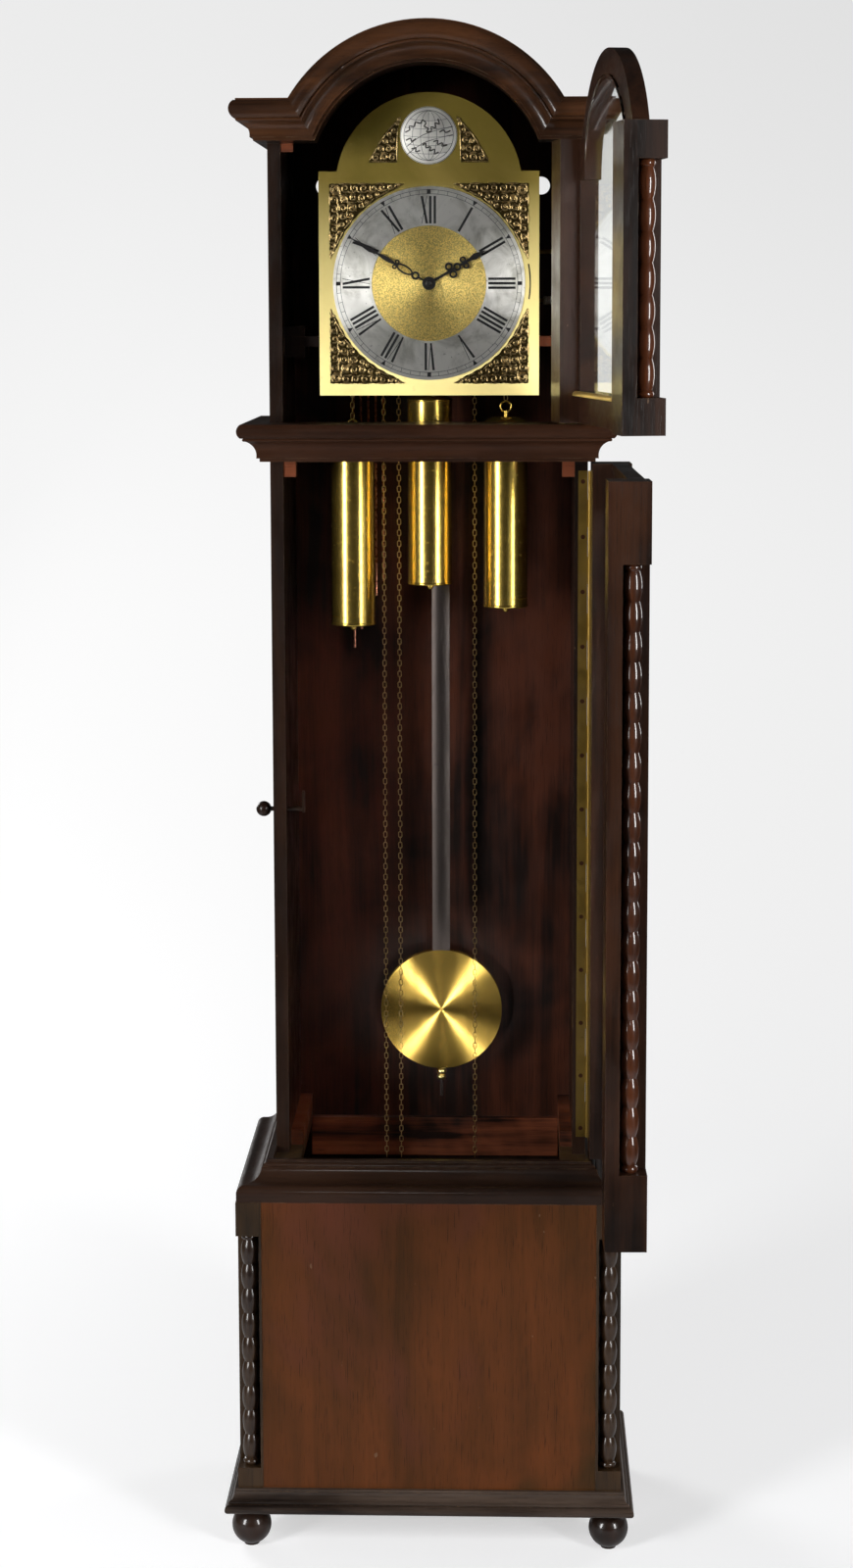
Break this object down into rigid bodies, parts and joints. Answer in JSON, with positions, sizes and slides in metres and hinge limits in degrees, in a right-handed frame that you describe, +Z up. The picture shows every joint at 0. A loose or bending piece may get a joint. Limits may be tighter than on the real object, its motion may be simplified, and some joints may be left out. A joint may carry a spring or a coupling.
{
  "type": "longcase clock",
  "caption": "Longcase hall clock with arched hood, glazed hood and trunk doors, bead-turned corner columns, arch dial, pendulum and chain-hung brass weights",
  "frame": {"origin": "on the floor, under the middle of the base box (centre of its width and of its depth)", "axes": "+Z up; the dial and the doors face -Y; +X is to the right of someone who faces the clock"},
  "size_m": [0.5467, 0.6802, 1.982],
  "materials": {
    "mahogany": "dark stained and varnished",
    "panel_mahogany": "reddish mottled varnish",
    "inside_wood": "dark stained",
    "brass": "brushed, lacquered",
    "old_brass": "darkened",
    "silvered": "silvered brass",
    "matted_gold": "matted",
    "blackened_steel": "black",
    "glass": "clear",
    "gong_copper": "copper-plated steel"
  },
  "bodies": {
    "case": {"ball_feet": "mahogany", "plinth_moulding": "mahogany", "base_floor": "inside_wood", "base_front_panel": "panel_mahogany", "base_side_panels": "mahogany", "corner_posts": "mahogany", "base_columns": "mahogany", "lower_moulding": "mahogany", "base_top_frame": "mahogany", "side_panels": "mahogany", "back_board": "inside_wood", "glue_blocks": "inside_wood", "waist_moulding": "mahogany", "cornice_moulding": "mahogany", "arch_head": "mahogany", "hood_roof": "mahogany", "seat_brackets": "inside_wood", "seat_board": "inside_wood", "hood_case_leaves": "brass", "piano_hinge_case_leaf": "brass", "dial_plate": "brass", "chapter_ring": "silvered", "dial_centre": "matted_gold", "globe_boss": "silvered", "spandrels": "old_brass", "movement_plates": "brass", "movement_pillars": "brass", "gong_block": "inside_wood", "gong_rods": "gong_copper"},
    "hood_door": {"hood_door_frame": "mahogany", "hood_door_stiles": "mahogany", "hood_door_columns": "mahogany", "hood_door_glass": "glass", "hood_door_bead": "brass", "hood_door_leaves": "brass"},
    "trunk_door": {"trunk_door_frame": "mahogany", "trunk_door_stiles": "mahogany", "trunk_door_columns": "mahogany", "trunk_door_glass": "glass", "piano_hinge_door_leaf": "brass"},
    "latch": {"latch": "mahogany"},
    "minute_hand": {"minute_hand": "blackened_steel", "hand_nut": "blackened_steel"},
    "hour_hand": {"hour_hand": "blackened_steel"},
    "pendulum": {"pendulum_rod": "blackened_steel", "pendulum_bob": "brass"},
    "rating_nut": {"rating_nut": "brass"},
    "crutch": {"crutch": "brass"},
    "left_weight": {"left_weight": "brass", "left_weight_chain": "old_brass"},
    "left_free_chain": {"left_free_chain": "old_brass"},
    "left_sprocket": {"left_sprocket": "brass"},
    "centre_weight": {"centre_weight": "brass", "centre_weight_chain": "old_brass"},
    "centre_free_chain": {"centre_free_chain": "old_brass"},
    "centre_sprocket": {"centre_sprocket": "brass"},
    "right_weight": {"right_weight": "brass", "right_weight_chain": "old_brass"},
    "right_free_chain": {"right_free_chain": "old_brass"},
    "right_sprocket": {"right_sprocket": "brass"}
  },
  "joints": [
    {"name": "hood_door_hinge", "type": "hinge", "parent": "case", "child": "hood_door", "pos_m": [0.2075, -0.11025, 1.66], "axis": [0, 0, 1], "range_deg": [-100.3, 15]},
    {"name": "trunk_door_hinge", "type": "hinge", "parent": "case", "child": "trunk_door", "pos_m": [0.2077, -0.05725, 0.976], "axis": [0, 0, 1], "range_deg": [-91.2, 70]},
    {"name": "latch_turn", "type": "hinge", "parent": "case", "child": "latch", "pos_m": [-0.205, -0.04075, 0.972], "axis": [1, 0, 0], "range_deg": [0, 90]},
    {"name": "minute_hand_turn", "type": "hinge", "parent": "case", "child": "minute_hand", "pos_m": [0, -0.035, 1.658], "axis": [0, 1, 0], "continuous": true},
    {"name": "hour_hand_turn", "type": "hinge", "parent": "case", "child": "hour_hand", "pos_m": [0, -0.031, 1.658], "axis": [0, 1, 0], "continuous": true},
    {"name": "pendulum_swing", "type": "hinge", "parent": "case", "child": "pendulum", "pos_m": [0.011, 0.09325, 1.716], "axis": [0, 1, 0], "range_deg": [-3, 3]},
    {"name": "crutch_swing", "type": "hinge", "parent": "case", "child": "crutch", "pos_m": [0.011, 0.09325, 1.716], "axis": [0, 1, 0], "range_deg": [-3, 3]},
    {"name": "rating_nut_turn", "type": "hinge", "parent": "pendulum", "child": "rating_nut", "pos_m": [0.011, 0.09325, 0.5765], "axis": [0, 0, 1], "continuous": true},
    {"name": "left_weight_fall", "type": "slide", "parent": "case", "child": "left_weight", "axis": [0, 0, -1], "range_m": [-0.02, 0.66], "deforming": ["left_weight_chain"]},
    {"name": "left_chain_rise", "type": "slide", "parent": "case", "child": "left_free_chain", "axis": [0, 0, 1], "range_m": [-0.02, 0.66], "deforming": ["left_free_chain"]},
    {"name": "left_sprocket_turn", "type": "hinge", "parent": "case", "child": "left_sprocket", "pos_m": [-0.0825, 0.02525, 1.632], "axis": [0, 1, 0], "range_deg": [-1845.1, 56.4]},
    {"name": "centre_weight_fall", "type": "slide", "parent": "case", "child": "centre_weight", "axis": [0, 0, -1], "range_m": [-0.02, 0.66], "deforming": ["centre_weight_chain"]},
    {"name": "centre_chain_rise", "type": "slide", "parent": "case", "child": "centre_free_chain", "axis": [0, 0, 1], "range_m": [-0.02, 0.66], "deforming": ["centre_free_chain"]},
    {"name": "centre_sprocket_turn", "type": "hinge", "parent": "case", "child": "centre_sprocket", "pos_m": [-0.0215, 0.02525, 1.632], "axis": [0, 1, 0], "range_deg": [-56.4, 1845.1]},
    {"name": "right_weight_fall", "type": "slide", "parent": "case", "child": "right_weight", "axis": [0, 0, -1], "range_m": [-0.02, 0.66], "deforming": ["right_weight_chain"]},
    {"name": "right_chain_rise", "type": "slide", "parent": "case", "child": "right_free_chain", "axis": [0, 0, 1], "range_m": [-0.02, 0.66], "deforming": ["right_free_chain"]},
    {"name": "right_sprocket_turn", "type": "hinge", "parent": "case", "child": "right_sprocket", "pos_m": [0.0785, 0.02525, 1.632], "axis": [0, 1, 0], "range_deg": [-56.4, 1845.1]}
  ],
  "couplings": [
    {"joint": "hour_hand_turn", "follows": "minute_hand_turn", "ratio": 0.083333},
    {"joint": "crutch_swing", "follows": "pendulum_swing", "ratio": 1},
    {"joint": "left_chain_rise", "follows": "left_weight_fall", "ratio": 1},
    {"joint": "left_sprocket_turn", "follows": "left_weight_fall", "rad_per_m": -48.781},
    {"joint": "centre_chain_rise", "follows": "centre_weight_fall", "ratio": 1},
    {"joint": "centre_sprocket_turn", "follows": "centre_weight_fall", "rad_per_m": 48.781},
    {"joint": "right_chain_rise", "follows": "right_weight_fall", "ratio": 1},
    {"joint": "right_sprocket_turn", "follows": "right_weight_fall", "rad_per_m": 48.781}
  ]
}
